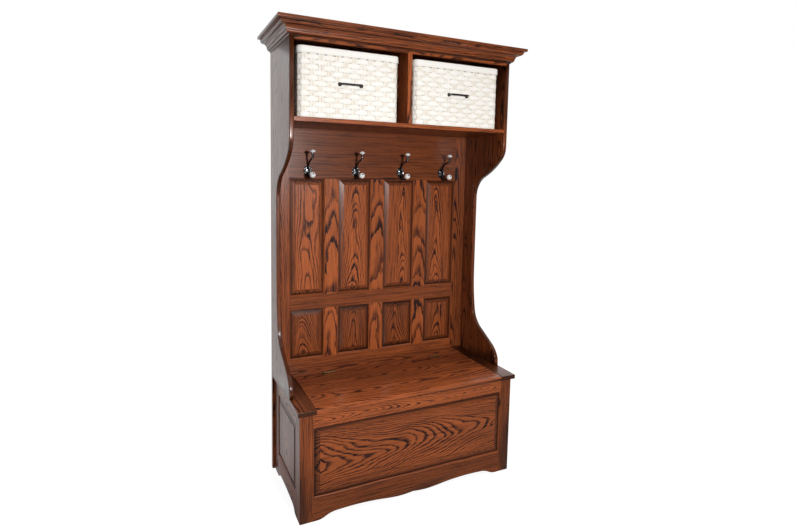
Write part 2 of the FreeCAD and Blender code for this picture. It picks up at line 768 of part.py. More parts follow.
def hook_arms():
    """Upper arm with its stem, and lower arm, both cast on the front of the plate."""
    reach = hook_reach
    course = [(-arm_root, 0)]
    course += [(-out * reach, up * stem_bottom) for out, up in upper_arm_course]
    stem = Part.makeCylinder(arm_radius, stem_top - stem_bottom, V(0, -reach, stem_bottom))
    upper = fuse([swept_arm(course, arm_radius), stem])
    course = [(-arm_root, -lower_arm_root_drop)]
    course += [(-out * reach, -down * knob_drop) for out, down in lower_arm_course]
    lower = swept_arm(course, arm_radius)
    lower = lower.cut(Part.makeSphere(hook_knob_radius, V(0, -reach, -knob_drop)))
    half = hook_plate_height
    behind = block(-half, half, -hook_plate_thickness, half, -2 * half, 2 * half)
    upper, lower = upper.cut(behind), lower.cut(behind)
    return upper, lower.cut(upper)


def knob_cap():
    """A flattened porcelain knob: a cone up to its widest ring, then a shallow dome."""
    ring = hook_cap_height * 0.45
    rise = hook_cap_height - ring
    dome_radius = (hook_cap_radius ** 2 + rise ** 2) / (2 * rise)
    cone = Part.makeCone(hook_cap_radius * 0.45, hook_cap_radius, ring)
    dome = Part.makeSphere(dome_radius, V(0, 0, hook_cap_height - dome_radius))
    wide = 2 * hook_cap_radius
    slice_box = block(-wide, wide, -wide, wide, ring, ring + wide)
    return fuse([cone, dome.common(slice_box)])


def hooks():
    cap = knob_cap()
    plate = hook_plate()
    upper, lower = hook_arms()
    ball = Part.makeSphere(hook_knob_radius, V(0, -hook_reach, -knob_drop))
    places = [V(x, y_back, hook_height) for x in hook_places()]
    keep("hook_plates", *[placed(plate, at) for at in places])
    keep("hook_arms_upper", *[placed(upper, at) for at in places])
    keep("hook_arms_lower", *[placed(lower, at) for at in places])
    keep("hook_knobs_upper", *[placed(cap, at + V(0, -hook_reach, stem_top))
                               for at in places])
    keep("hook_knobs_lower", *[placed(ball, at) for at in places])
    screws = []
    for x, z in hook_screw_places():
        head = along_y(hook_screw_radius, -hook_plate_thickness - hook_screw_head, 0, x, z)
        shank = along_y(hook_screw_radius / 2, 0, hook_screw_length, x, z)
        screws.append(placed(fuse([head, shank]), V(0, y_back, 0)))
    keep("hook_screws", *screws)


# ---- baskets -----------------------------------------------------------------------

def basket(hand, middle):
    """An open box of woven strips, a rim band round its top, and a bow pull."""
    y0 = y_upper + basket_front_setback
    z0 = shelf_top + basket_floor_gap
    half = basket_width / 2
    y1 = y0 + basket_depth
    top = z0 + basket_height
    wall = basket_wall
    shell = block(middle - half, middle + half, y0, y1, z0, top)
    shell = shell.cut(block(middle - half + wall, middle + half - wall, y0 + wall, y1 - wall,
                            z0 + wall, top + 1))
    keep(f"basket_{hand}", shell)
    out = rim_thickness
    rim = block(middle - half - out, middle + half + out, y0 - out, y1 + out,
                top - rim_height, top)
    rim = rim.cut(block(middle - half, middle + half, y0, y1, top - rim_height - 1, top + 1))
    keep(f"basket_rim_{hand}", rim)
    handle = bow_pull()
    handle.translate(V(middle, y0, z0 + basket_height / 2))
    keep(f"basket_handle_{hand}", handle)


def bow_pull():
    """Two round feet and a bar between them, drawn with the basket's face at y = 0."""
    half = handle_spacing / 2
    bend = handle_bend
    reach = handle_reach - handle_radius
    corner = bend * (1 - math.sqrt(0.5))
    edges = [
        Part.makeLine(V(-half, 0, 0), V(-half, -reach + bend, 0)),
        Part.Arc(V(-half, -reach + bend, 0), V(-half + corner, -reach + corner, 0),
                 V(-half + bend, -reach, 0)).toShape(),
        Part.makeLine(V(-half + bend, -reach, 0), V(half - bend, -reach, 0)),
        Part.Arc(V(half - bend, -reach, 0), V(half - corner, -reach + corner, 0),
                 V(half, -reach + bend, 0)).toShape(),
        Part.makeLine(V(half, -reach + bend, 0), V(half, 0, 0)),
    ]
    ring = Part.Wire(Part.Circle(V(-half, 0, 0), V(0, 1, 0), handle_radius).toShape())
    bar = Part.Wire(edges).makePipeShell([ring], True, False)
    feet = [Part.makeCylinder(handle_foot_radius, handle_foot_thickness,
                              V(x, -handle_foot_thickness, 0), V(0, 1, 0))
            for x in (-half, half)]
    return fuse([bar] + feet)


def baskets():
    start = basket_left_gap + basket_width / 2
    basket("left", -x_inner + start)
    basket("right", divider_thickness / 2 + start)


chest_front()
chest_sides()
chest_floor()
seat_boards()
hinges()
back_frame()
sides()
cubby()
crown()
hooks()
baskets()

os.makedirs("parts", exist_ok=True)
for name, shape in parts.items():
    if not shape.isValid():
        raise ValueError(f"{name} is not a valid shape")
    shape.exportStep(f"parts/{name}.step")
print(len(parts), "nodes,", sum(len(shape.Solids) for shape in parts.values()), "solids")
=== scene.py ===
# %% [markdown]
# # Hall tree in stained red oak
#
# A hall tree is a bench, a coat rack and a shelf in one piece of furniture. This file is a
# lesson in giving such a piece its looks: the joinery is already made, board by board, and
# comes in as a fixed frame. Here the boards get their wood, the hooks and pulls their metal
# and porcelain, and the baskets are woven strip by strip.

# %% Load the frame and note its box
import json
import math

import bmesh
import bpy
import numpy as np
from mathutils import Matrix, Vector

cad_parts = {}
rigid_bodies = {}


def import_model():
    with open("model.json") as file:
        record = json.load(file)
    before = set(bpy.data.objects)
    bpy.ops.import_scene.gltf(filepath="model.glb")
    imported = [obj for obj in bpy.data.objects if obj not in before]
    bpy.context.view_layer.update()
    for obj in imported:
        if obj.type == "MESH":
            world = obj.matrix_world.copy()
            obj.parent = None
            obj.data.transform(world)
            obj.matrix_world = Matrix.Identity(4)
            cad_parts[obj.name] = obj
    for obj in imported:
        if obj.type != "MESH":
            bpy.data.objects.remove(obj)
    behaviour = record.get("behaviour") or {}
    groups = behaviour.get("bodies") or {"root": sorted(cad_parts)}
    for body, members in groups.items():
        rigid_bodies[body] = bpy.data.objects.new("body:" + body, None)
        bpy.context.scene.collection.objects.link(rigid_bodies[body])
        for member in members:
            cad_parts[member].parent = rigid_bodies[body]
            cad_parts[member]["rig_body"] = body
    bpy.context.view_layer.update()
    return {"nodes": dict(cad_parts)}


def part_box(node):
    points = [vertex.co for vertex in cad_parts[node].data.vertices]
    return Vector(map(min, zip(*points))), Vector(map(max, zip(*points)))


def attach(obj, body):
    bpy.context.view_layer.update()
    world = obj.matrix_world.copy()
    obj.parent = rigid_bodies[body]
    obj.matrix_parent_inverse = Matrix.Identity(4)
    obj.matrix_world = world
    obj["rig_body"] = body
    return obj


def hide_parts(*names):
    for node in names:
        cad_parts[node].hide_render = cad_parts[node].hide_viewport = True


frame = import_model()
nodes = frame["nodes"]
print("boards, fittings and baskets in the frame:", len(nodes))

# %% [markdown]
# ## The camera and the light
#
# The camera stands at eye height to the left of the middle and looks slightly down, so the
# left side is seen at a glancing angle. A small lamp near the camera's height throws the
# short shadows behind the hooks. The room is bright behind, above and to the left, and dark
# in front: gloss on dark wood shows mostly what the room reflects, so the dark front keeps
# the stain deep and the bright left side puts a sheen on the side of the case.

# %% Camera
scene = bpy.context.scene
camera_data = bpy.data.cameras.new("camera")
camera_data.sensor_width = 36.0
camera_data.lens = 23.585
camera_data.shift_x = 0.0021
camera_data.shift_y = -0.0516
camera_data.clip_end = 60.0
camera = bpy.data.objects.new("camera", camera_data)
camera.rotation_mode = "XYZ"
view_right = np.array([0.904448, -0.426142, 0.019418])
view_ahead = np.array([0.425918, 0.899556, -0.096914])
view_up = np.cross(view_right, view_ahead)
camera_turn = np.eye(4)
camera_turn[:3, 0] = view_right
camera_turn[:3, 1] = view_up
camera_turn[:3, 2] = -view_ahead
camera_turn[:3, 3] = (-1.01298, -2.13868, 1.39675)
camera.matrix_world = [list(row) for row in camera_turn.T]
scene.collection.objects.link(camera)
scene.camera = camera
scene.view_settings.view_transform = "Standard"

# %% [markdown]
# A small lamp is hung near the middle, in front of the case and a little above eye height.
# Everything else is the room itself: Light Path lets the sky be white where the camera looks
# past the case, bright where gloss looks towards the back, and calmer where it looks forward.

# %% Lamp
lamp_data = bpy.data.lights.new("front_lamp", "AREA")
lamp_data.shape = "DISK"
lamp_data.size = 0.24
lamp_data.energy = 43.0
lamp_data.color = (1.0, 0.99, 0.99)
lamp = bpy.data.objects.new("front_lamp", lamp_data)
lamp.location = (-0.25, -2.4, 1.58)
lamp.rotation_euler = (math.radians(84.0), 0.0, math.radians(-5.0))
scene.collection.objects.link(lamp)

# %% Small helpers for shader trees


def link(tree, source, target):
    """Joins an output socket to an input socket, or writes a plain value into the input."""
    if isinstance(source, bpy.types.NodeSocket):
        tree.links.new(source, target)
    else:
        target.default_value = source


def do(tree, operation, *values, clamp=False):
    """One Math node: returns its output for the operation on up to three values."""
    node = tree.nodes.new("ShaderNodeMath")
    node.operation = operation
    node.use_clamp = clamp
    for value, socket in zip(values, node.inputs):
        link(tree, value, socket)
    return node.outputs[0]


def ramp(tree, value, low, high):
    """A smooth step: 0 below low, 1 above high, and an S-shaped rise between."""
    node = tree.nodes.new("ShaderNodeMapRange")
    node.interpolation_type = "SMOOTHSTEP"
    link(tree, value, node.inputs["Value"])
    link(tree, low, node.inputs["From Min"])
    link(tree, high, node.inputs["From Max"])
    return node.outputs["Result"]


def span(tree, value, low, high):
    """A straight-line map: an input of 0 gives low and an input of 1 gives high."""
    node = tree.nodes.new("ShaderNodeMapRange")
    link(tree, value, node.inputs["Value"])
    link(tree, low, node.inputs["To Min"])
    link(tree, high, node.inputs["To Max"])
    return node.outputs["Result"]


def mix_colour(tree, share, first, second, how="MIX"):
    """Two colours mixed: share 0 gives the first, and share 1 the second."""
    node = tree.nodes.new("ShaderNodeMix")
    node.data_type = "RGBA"
    node.blend_type = how
    link(tree, share, node.inputs[0])
    link(tree, first, node.inputs[6])
    link(tree, second, node.inputs[7])
    return node.outputs[2]


def noise(tree, place, scale=1.0, detail=2.0, roughness=0.5):
    """A soft 3-D noise from 0 to 1 around one half, read at a place."""
    node = tree.nodes.new("ShaderNodeTexNoise")
    link(tree, place, node.inputs["Vector"])
    node.inputs["Scale"].default_value = scale
    node.inputs["Detail"].default_value = detail
    node.inputs["Roughness"].default_value = roughness
    return node.outputs["Fac"]


def scatter(tree, value):
    """A different chance number from 0 to 1 for each whole value."""
    node = tree.nodes.new("ShaderNodeTexWhiteNoise")
    node.noise_dimensions = "1D"
    link(tree, value, node.inputs["W"])
    return node.outputs["Value"]


def join_xyz(tree, x, y, z):
    """Three numbers as one vector."""
    node = tree.nodes.new("ShaderNodeCombineXYZ")
    for value, socket in zip((x, y, z), node.inputs):
        link(tree, value, socket)
    return node.outputs[0]


def split_xyz(tree, vector):
    """One vector as its three numbers."""
    node = tree.nodes.new("ShaderNodeSeparateXYZ")
    link(tree, vector, node.inputs[0])
    return list(node.outputs)


def stretched(tree, vector, scale):
    """A place scaled by a different factor along each axis."""
    node = tree.nodes.new("ShaderNodeMapping")
    link(tree, vector, node.inputs["Vector"])
    node.inputs["Scale"].default_value = scale
    return node.outputs[0]


def new_group(name, inputs, outputs):
    """An empty node group: inputs as (name, kind, value), outputs as (name, kind)."""
    tree = bpy.data.node_groups.new(name, "ShaderNodeTree")
    for label, kind, value in inputs:
        made = tree.interface.new_socket(name=label, in_out="INPUT", socket_type=kind)
        made.default_value = value
    for label, kind in outputs:
        tree.interface.new_socket(name=label, in_out="OUTPUT", socket_type=kind)
    source = tree.nodes.new("NodeGroupInput")
    target = tree.nodes.new("NodeGroupOutput")
    return tree, source.outputs, target.inputs


def new_material(name):
    """A material with an empty Principled BSDF, and that shader."""
    material = bpy.data.materials.new(name)
    material.use_nodes = True
    shader = material.node_tree.nodes["Principled BSDF"]
    return material, material.node_tree, shader


# %% The room
room = bpy.data.worlds.new("room")
room.use_nodes = True
scene.world = room
sky = room.node_tree
sky_shader = sky.nodes["Background"]
sky_light = sky.nodes.new("ShaderNodeLightPath")
sky_place = sky.nodes.new("ShaderNodeTexCoord")
sky_way = split_xyz(sky, sky_place.outputs["Generated"])
behind = ramp(sky, sky_way[1], -0.25, 0.35)
left_window = do(sky, "MULTIPLY", ramp(sky, sky_way[0], -0.72, -0.95), 0.30)
ceiling = do(sky, "MULTIPLY", ramp(sky, sky_way[2], 0.62, 0.92), 0.7)
bright = do(sky, "MAXIMUM", do(sky, "MAXIMUM", behind, left_window), ceiling)
above = ramp(sky, sky_way[2], 0.05, 0.9)
gloss_level = span(sky, bright, 0.03, 1.0)
soft_level = do(sky, "ADD", 0.12, do(sky, "MULTIPLY", above, 0.85))
level = do(sky, "ADD", soft_level,
           do(sky, "MULTIPLY", sky_light.outputs["Is Glossy Ray"],
              do(sky, "SUBTRACT", gloss_level, soft_level)))
direct = do(sky, "MAXIMUM", sky_light.outputs["Is Camera Ray"],
            sky_light.outputs["Is Transmission Ray"])
level = do(sky, "ADD", level, do(sky, "MULTIPLY", direct, do(sky, "SUBTRACT", 1.0, level)))
link(sky, level, sky_shader.inputs["Strength"])
sky_shader.inputs["Color"].default_value = (1.0, 1.0, 1.0, 1.0)

# %% [markdown]
# ## The floor
#
# A white floor keeps the soft shadow under the skirt. It is lit like everything else, and
# where the camera or a glossy ray meets it, a little glow of its own lifts it to white.

# %% Floor
floor_mesh = bpy.data.meshes.new("floor")
floor_mesh.from_pydata([(-14, -14, 0), (14, -14, 0), (14, 14, 0), (-14, 14, 0)], [], [(0, 1, 2, 3)])
floor = bpy.data.objects.new("floor", floor_mesh)
scene.collection.objects.link(floor)
floor_paint, floor_tree, floor_shader = new_material("white_floor")
floor_grain = floor_tree.nodes.new("ShaderNodeTexCoord")
floor_tone = span(floor_tree, noise(floor_tree, floor_grain.outputs["Object"], 3.0), 0.21, 0.23)
link(floor_tree, join_xyz(floor_tree, floor_tone, floor_tone, floor_tone),
     floor_shader.inputs["Base Color"])
floor_shader.inputs["Roughness"].default_value = 0.9
floor_shader.inputs["Specular IOR Level"].default_value = 0.0
floor_light = floor_tree.nodes.new("ShaderNodeLightPath")
floor_back = ramp(floor_tree, split_xyz(floor_tree, floor_grain.outputs["Object"])[1], -0.3, 0.5)
floor_gloss = do(floor_tree, "MULTIPLY", floor_light.outputs["Is Glossy Ray"],
                 span(floor_tree, floor_back, 0.02, 0.75))
floor_seen = do(floor_tree, "MAXIMUM", floor_light.outputs["Is Camera Ray"], floor_gloss)
floor_shader.inputs["Emission Color"].default_value = (1.0, 1.0, 1.0, 1.0)
link(floor_tree, do(floor_tree, "MULTIPLY", floor_seen, 0.88),
     floor_shader.inputs["Emission Strength"])
floor_mesh.materials.append(floor_paint)

# %% [markdown]
# ## Stained oak
#
# Oak is drawn here the way it grows. A board is a slice through a slightly cone-shaped trunk,
# so each point of the board has a distance from the heart of the tree, and that distance
# counts the year rings. A flat board then shows nested arches along its middle and straight
# lines at its edges, and its ends and bevels agree with its face without any picture.
#
# Dark stain collects in the open pores of the spring wood, so every ring starts with a sharp
# dark edge and fades. The board's own axes go in: along the grain, across it, and into the
# thickness. A wide board is glued from strips, so each strip gets its own heart and its own
# place along the trunk.

# %% The ring pattern as a node group
oak, oak_in, oak_out = new_group(
    "oak_rings",
    [("Place", "NodeSocketVector", (0.0, 0.0, 0.0)), ("Strip", "NodeSocketFloat", 0.1),
     ("Heart", "NodeSocketFloat", 0.06), ("Taper", "NodeSocketFloat", 0.03),
     ("Ring", "NodeSocketFloat", 0.0042), ("Sideways", "NodeSocketFloat", 0.5),
     ("Seed", "NodeSocketFloat", 0.0), ("Tone", "NodeSocketFloat", 1.0),
     ("Wander", "NodeSocketFloat", 1.0), ("Facing", "NodeSocketVector", (0.0, 0.0, 1.0)),
     ("End", "NodeSocketFloat", 0.5), ("Edge", "NodeSocketFloat", 1.12),
     ("Recess Shade", "NodeSocketFloat", 0.0), ("Away", "NodeSocketFloat", 0.0)],
    [("Color", "NodeSocketColor"), ("Roughness", "NodeSocketFloat"),
     ("Height", "NodeSocketFloat"), ("Rings", "NodeSocketFloat")])
along, across, into = split_xyz(oak, oak_in["Place"])
strip_at = do(oak, "DIVIDE", across, oak_in["Strip"])
strip_number = do(oak, "FLOOR", strip_at)
strip_key = do(oak, "ADD", strip_number, do(oak, "MULTIPLY", oak_in["Seed"], 17.31))
chance_a = scatter(oak, strip_key)
chance_b = scatter(oak, do(oak, "ADD", strip_key, 71.7))
chance_c = scatter(oak, do(oak, "ADD", strip_key, 143.2))
local = do(oak, "MULTIPLY", do(oak, "SUBTRACT", do(oak, "FRACT", strip_at), 0.5), oak_in["Strip"])
shift = do(oak, "MULTIPLY", do(oak, "SUBTRACT", chance_a, 0.5),
           do(oak, "MULTIPLY", oak_in["Strip"], oak_in["Sideways"]))
local = do(oak, "ADD", local, shift)
far_along = do(oak, "ADD", along, do(oak, "MULTIPLY", chance_b, 9.0))
tree_place = join_xyz(oak, far_along, local, into)
slow = do(oak, "SUBTRACT", noise(oak, stretched(oak, tree_place, (2.6, 7.0, 7.0)), 1.0, 2.0), 0.5)
bend = do(oak, "SUBTRACT", noise(oak, stretched(oak, tree_place, (3.1, 5.0, 5.0)), 1.0, 1.0), 0.5)
rough_edge = do(oak, "SUBTRACT",
                noise(oak, stretched(oak, tree_place, (30.0, 130.0, 130.0)), 1.0, 3.0), 0.5)
heart = do(oak, "MULTIPLY", oak_in["Heart"], span(oak, chance_c, 0.65, 1.35))
depth = do(oak, "ADD", do(oak, "ADD", into, heart),
           do(oak, "MULTIPLY", slow, do(oak, "MULTIPLY", oak_in["Wander"], 0.035)))
side = do(oak, "ADD", do(oak, "ADD", local, oak_in["Away"]),
          do(oak, "MULTIPLY", bend, do(oak, "MULTIPLY", oak_in["Wander"], 0.055)))
radius = do(oak, "SQRT", do(oak, "ADD", do(oak, "MULTIPLY", depth, depth),
                            do(oak, "MULTIPLY", side, side)))
radius = do(oak, "ADD", radius, do(oak, "MULTIPLY", far_along, oak_in["Taper"]))
radius = do(oak, "ADD", radius, do(oak, "MULTIPLY", rough_edge, 0.0026))
years = do(oak, "DIVIDE", radius, oak_in["Ring"])
years = do(oak, "ADD", years, do(oak, "MULTIPLY", noise(
    oak, join_xyz(oak, do(oak, "MULTIPLY", years, 0.45), 0.0, 0.0), 1.0, 1.0), 1.3))
within = do(oak, "FRACT", years)
strength = span(oak, scatter(oak, do(oak, "ADD", do(oak, "FLOOR", years), 0.37)), 0.45, 1.0)
spring = do(oak, "SUBTRACT", 1.0, ramp(oak, within, 0.08, 0.52))
spring = do(oak, "MAXIMUM", spring, ramp(oak, within, 0.93, 1.0))

# %% Pores, rays and colour
pores = noise(oak, stretched(oak, tree_place, (26.0, 900.0, 900.0)), 1.0, 2.0, 0.6)
fibres = noise(oak, stretched(oak, tree_place, (9.0, 330.0, 330.0)), 1.0, 3.0, 0.65)
clouds = noise(oak, stretched(oak, tree_place, (3.5, 16.0, 16.0)), 1.0, 2.0)
streaks = noise(oak, stretched(oak, tree_place, (5.0, 120.0, 120.0)), 1.0, 3.0, 0.7)
streak_mark = ramp(oak, streaks, 0.50, 0.68)
pore_mark = ramp(oak, pores, 0.47, 0.66)
broken = span(oak, ramp(oak, streaks, 0.34, 0.56), 0.60, 1.0)
rings = do(oak, "MULTIPLY", do(oak, "MULTIPLY", spring, strength), broken, clamp=True)
marks = do(oak, "ADD", do(oak, "MULTIPLY", pore_mark, 0.16),
           do(oak, "MULTIPLY", streak_mark, 0.42))
dark = do(oak, "ADD", do(oak, "MULTIPLY", rings, 1.22), marks, clamp=True)
light_wood = (0.425, 0.106, 0.0285, 1.0)
dark_wood = (0.021, 0.0052, 0.0046, 1.0)
colour = mix_colour(oak, dark, light_wood, dark_wood)
shade = do(oak, "MULTIPLY", span(oak, fibres, 0.50, 1.50), span(oak, clouds, 0.72, 1.28))
shade = do(oak, "MULTIPLY", shade, span(oak, scatter(oak, do(oak, "ADD", strip_key, 9.1)), 0.86, 1.14))
shade = do(oak, "MULTIPLY", shade, oak_in["Tone"])
facing = [do(oak, "ABSOLUTE", value) for value in split_xyz(oak, oak_in["Facing"])]
end_grain = ramp(oak, facing[0], 0.07, 0.26)
# Faces turned across the grain, such as lips and rounded edges, are multiplied by the Edge factor.
# Above one it is a painted highlight on them; below one, on raised panels, it is painted shade on
# their side bevels. End grain is darker with the stain.
edge_face_light_and_shade = ramp(oak, facing[1], 0.07, 0.26)
shade = do(oak, "MULTIPLY", shade, span(oak, end_grain, 1.0, oak_in["End"]))
shade = do(oak, "MULTIPLY", shade, span(oak, edge_face_light_and_shade, 1.0, oak_in["Edge"]))
# Painted shade: on raised panels the thin edges that run into the frame, and a narrow line where the
# field steps, are darkened to stand for the shade in the recess round the field.
recess = ramp(oak, do(oak, "ABSOLUTE", into), 0.0034, 0.0006)
pooled = do(oak, "MULTIPLY", recess, oak_in["Recess Shade"])
step_edge = ramp(oak, do(oak, "ABSOLUTE", do(oak, "SUBTRACT", do(oak, "ABSOLUTE", into), 0.0055)),
                 0.00060, 0.00045)
pooled = do(oak, "MAXIMUM", pooled, do(oak, "MULTIPLY", step_edge, oak_in["Recess Shade"]))
shade = do(oak, "MULTIPLY", shade, span(oak, pooled, 1.0, 0.30))
colour = mix_colour(oak, 1.0, colour, join_xyz(oak, shade, shade, shade), "MULTIPLY")
link(oak, colour, oak_out["Color"])
link(oak, span(oak, dark, 0.36, 0.52), oak_out["Roughness"])
link(oak, do(oak, "SUBTRACT", 1.0, do(oak, "MULTIPLY", dark, 0.8)), oak_out["Height"])
link(oak, rings, oak_out["Rings"])
print("ring pattern nodes:", len(oak.nodes))

# %% [markdown]
# Each board gets its own material, because each came from another place in the tree, and because its
# tone also carries painted shade. The three letters say which way the board lies: first the axis its
# grain runs along, then the axis across its face, then the axis into its thickness.

# %% One board's material
AXES = {"x": 0, "y": 1, "z": 2}


def board_finish(name, lie, tone=1.0, strip=0.5, heart=0.06, taper=0.03, ring=0.0042,
                 sideways=None, seed=None, centre=(0.0, 0.0, 0.0), gloss=0.55, wander=1.0,
                 end=0.5, edge=1.12, pool=0.0, away=0.0):
    """Stained oak for one board. The place on the board is its position less the centre,
    with its axes put in the order along, across, into."""
    material, tree, shader = new_material("oak_" + name)
    texture = tree.nodes.new("ShaderNodeTexCoord")
    moved = tree.nodes.new("ShaderNodeMapping")
    link(tree, texture.outputs["Object"], moved.inputs["Vector"])
    moved.inputs["Location"].default_value = [-value for value in centre]
    parts = split_xyz(tree, moved.outputs[0])
    place = join_xyz(tree, *[parts[AXES[letter]] for letter in lie])
    turns = split_xyz(tree, texture.outputs["Normal"])
    facing_way = join_xyz(tree, *[turns[AXES[letter]] for letter in lie])
    rings_node = tree.nodes.new("ShaderNodeGroup")
    rings_node.node_tree = oak
    link(tree, place, rings_node.inputs["Place"])
    link(tree, facing_way, rings_node.inputs["Facing"])
    if sideways is None:
        sideways = 0.10 if strip >= 0.5 else 0.5
    values = {"Strip": strip, "Heart": heart, "Taper": taper, "Ring": ring,
              "Sideways": sideways, "Tone": tone, "Wander": wander,
              "End": end, "Edge": edge, "Recess Shade": pool, "Away": away,
              "Seed": sum(map(ord, name)) * 0.137 if seed is None else seed}
    for label, value in values.items():
        rings_node.inputs[label].default_value = value
    link(tree, rings_node.outputs["Color"], shader.inputs["Base Color"])
    link(tree, rings_node.outputs["Roughness"], shader.inputs["Roughness"])
    relief = tree.nodes.new("ShaderNodeBump")
    relief.inputs["Strength"].default_value = 0.35
    relief.inputs["Distance"].default_value = 0.0004
    link(tree, rings_node.outputs["Height"], relief.inputs["Height"])
    link(tree, relief.outputs["Normal"], shader.inputs["Normal"])
    shader.inputs["Specular IOR Level"].default_value = 0.15
    shader.inputs["Coat Weight"].default_value = gloss
    shader.inputs["Coat Roughness"].default_value = 0.22
    shader.inputs["Coat IOR"].default_value = 1.5
    return material


def middle(node):
    """The centre of a node's box."""
    low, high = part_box(node)
    return tuple((low + high) / 2)


def dress(node, material):
    """Gives a carried-over piece its material."""
    mesh = nodes[node].data if isinstance(node, str) else node.data
    mesh.materials.clear()
    mesh.materials.append(material)


# %% [markdown]
# ## Rounded and moulded boards
#
# The frame brings each board as loose triangles, which is right for flat faces. A scrolled
# side, a moulded crown or a rounded edge should shade softly along its curve. A copy is
# merged and shaded smooth, keeps its crisp corners by their angle, and stands in for the
# original.

# %% Smooth copies


def smooth_copy(node, crease=32.0):
    """A copy of a node with its doubled corners merged. Edges that bend by more than the
    crease angle stay sharp, and the rest shade smoothly."""
    mesh = nodes[node].data.copy()
    work = bmesh.new()
    work.from_mesh(mesh)
    bmesh.ops.remove_doubles(work, verts=work.verts, dist=2e-5)
    bmesh.ops.dissolve_degenerate(work, dist=1e-6, edges=work.edges)
    work.to_mesh(mesh)
    work.free()
    mesh.shade_smooth()
    mesh.set_sharp_from_angle(angle=math.radians(crease))
    made = bpy.data.objects.new(node + "_smooth", mesh)
    scene.collection.objects.link(made)
    body = nodes[node]["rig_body"]
    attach(made, body)
    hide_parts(node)
    return made


curved = {}
for node in ("side_panel_left", "side_panel_right", "crown_front", "crown_returns",
             "top_board", "seat_caps", "seat_lid", "seat_back_strip",
             "cubby_shelf", "base_front_bottom_rail", "base_left_bottom_rail",
             "base_right_bottom_rail", "base_left_stiles", "base_right_stiles",
             "base_front_stile_left", "base_front_stile_right", "cubby_divider"):
    curved[node] = smooth_copy(node)
print("smooth boards:", len(curved))

# %% The boards and how each one lies
# Part of each tone is painted shade: the boards further right, the lower back panels and the hook rail
# under the shelf are set darker for light that falls off there.
boards = {
    "base_front_panel": dict(lie="xzy", tone=0.8, heart=0.17, taper=0.085, ring=0.0047,
                             strip=0.60, sideways=0.0, seed=3.0),
    "base_front_top_rail": dict(lie="xzy", tone=1.2, heart=0.022, taper=0.12, ring=0.0056,
                                sideways=0.0, seed=5.2),
    "base_front_bottom_rail": dict(lie="xzy", tone=0.72, heart=0.02, taper=0.01, ring=0.0052,
                                   wander=0.4, away=0.08),
    "base_front_stile_left": dict(lie="zxy", tone=0.86, heart=0.03, wander=0.5, away=0.05,
                                  ring=0.0046),
    "base_front_stile_right": dict(lie="zxy", tone=0.62, heart=0.03, wander=0.5, away=0.05,
                                   ring=0.0046),
    "seat_lid": dict(lie="xyz", tone=0.98, strip=0.115, heart=0.075, ring=0.0046, taper=0.022),
    "seat_back_strip": dict(lie="xyz", tone=0.85, heart=0.10, wander=0.5),
    "seat_caps": dict(lie="yxz", tone=0.42, strip=0.12, heart=0.06),
    "cubby_shelf": dict(lie="xyz", tone=0.80, strip=0.11, heart=0.06),
    "cubby_divider": dict(lie="zxy", tone=1.0, heart=0.06),
    "cubby_face_rail": dict(lie="xzy", tone=0.85, heart=0.10),
    "top_board": dict(lie="xyz", tone=0.70, strip=0.10, heart=0.06),
    "crown_front": dict(lie="xzy", tone=0.62, heart=0.09, taper=0.012),
    "crown_returns": dict(lie="yzx", tone=0.56, heart=0.09, taper=0.012, gloss=0.6),
    "side_panel_left": dict(lie="zyx", tone=0.46, strip=0.105, heart=0.07, taper=0.018, gloss=0.68),
    "side_panel_right": dict(lie="zyx", tone=0.46, strip=0.105, heart=0.07, taper=0.018),
    "base_left_stiles": dict(lie="zyx", tone=0.6, heart=0.08, gloss=0.42),
    "base_left_top_rail": dict(lie="yzx", tone=0.6, heart=0.07, gloss=0.42),
    "base_left_bottom_rail": dict(lie="yzx", tone=0.6, heart=0.07, gloss=0.42),
    "base_left_panel": dict(lie="zyx", tone=0.6, heart=0.05, gloss=0.42),
    "base_right_stiles": dict(lie="zyx", tone=0.7, heart=0.08),
    "base_right_top_rail": dict(lie="yzx", tone=0.7, heart=0.07),
    "base_right_bottom_rail": dict(lie="yzx", tone=0.7, heart=0.07),
    "base_right_panel": dict(lie="zyx", tone=0.75, heart=0.05),
    "back_hook_rail": dict(lie="xzy", tone=0.56, strip=0.5, heart=0.02, taper=0.004, wander=0.35,
                           ring=0.0048, away=0.13),
    "back_mid_rail": dict(lie="xzy", tone=0.66, heart=0.02, taper=0.006, wander=0.4, away=0.09,
                          ring=0.0046),
    "back_bottom_rail": dict(lie="xzy", tone=0.74, heart=0.02, taper=0.006, wander=0.4,
                             away=0.09, ring=0.0046),
    "back_stile_left": dict(lie="zxy", tone=0.85, heart=0.07, away=0.04, wander=0.6),
    "back_stile_right": dict(lie="zxy", tone=0.58, heart=0.07, away=0.04, wander=0.6),
    "back_mullions": dict(lie="zxy", tone=0.98, strip=0.2359, sideways=0.0, heart=0.035,
                          taper=0.04, ring=0.0046, centre=(0.1179, 0.0, 0.0), wander=0.7),
    "back_upper_panel_1": dict(lie="zxy", tone=1.05, heart=0.12, ring=0.004, taper=0.022),
    "back_upper_panel_2": dict(lie="zxy", tone=1.0, heart=0.055, ring=0.0042, taper=0.045),
    "back_upper_panel_3": dict(lie="zxy", tone=0.98, heart=0.04, ring=0.0044, taper=0.06),
    "back_upper_panel_4": dict(lie="zxy", tone=0.84, heart=0.045, ring=0.0042, taper=0.06),
    "back_lower_panel_1": dict(lie="zxy", tone=0.78, heart=0.08, ring=0.0048, taper=0.16),
    "back_lower_panel_2": dict(lie="zxy", tone=0.76, heart=0.05, ring=0.005, taper=0.08),
    "back_lower_panel_3": dict(lie="zxy", tone=0.73, heart=0.045, ring=0.0048, taper=0.08),
    "back_lower_panel_4": dict(lie="zxy", tone=0.7, heart=0.05, ring=0.0048, taper=0.06),
}
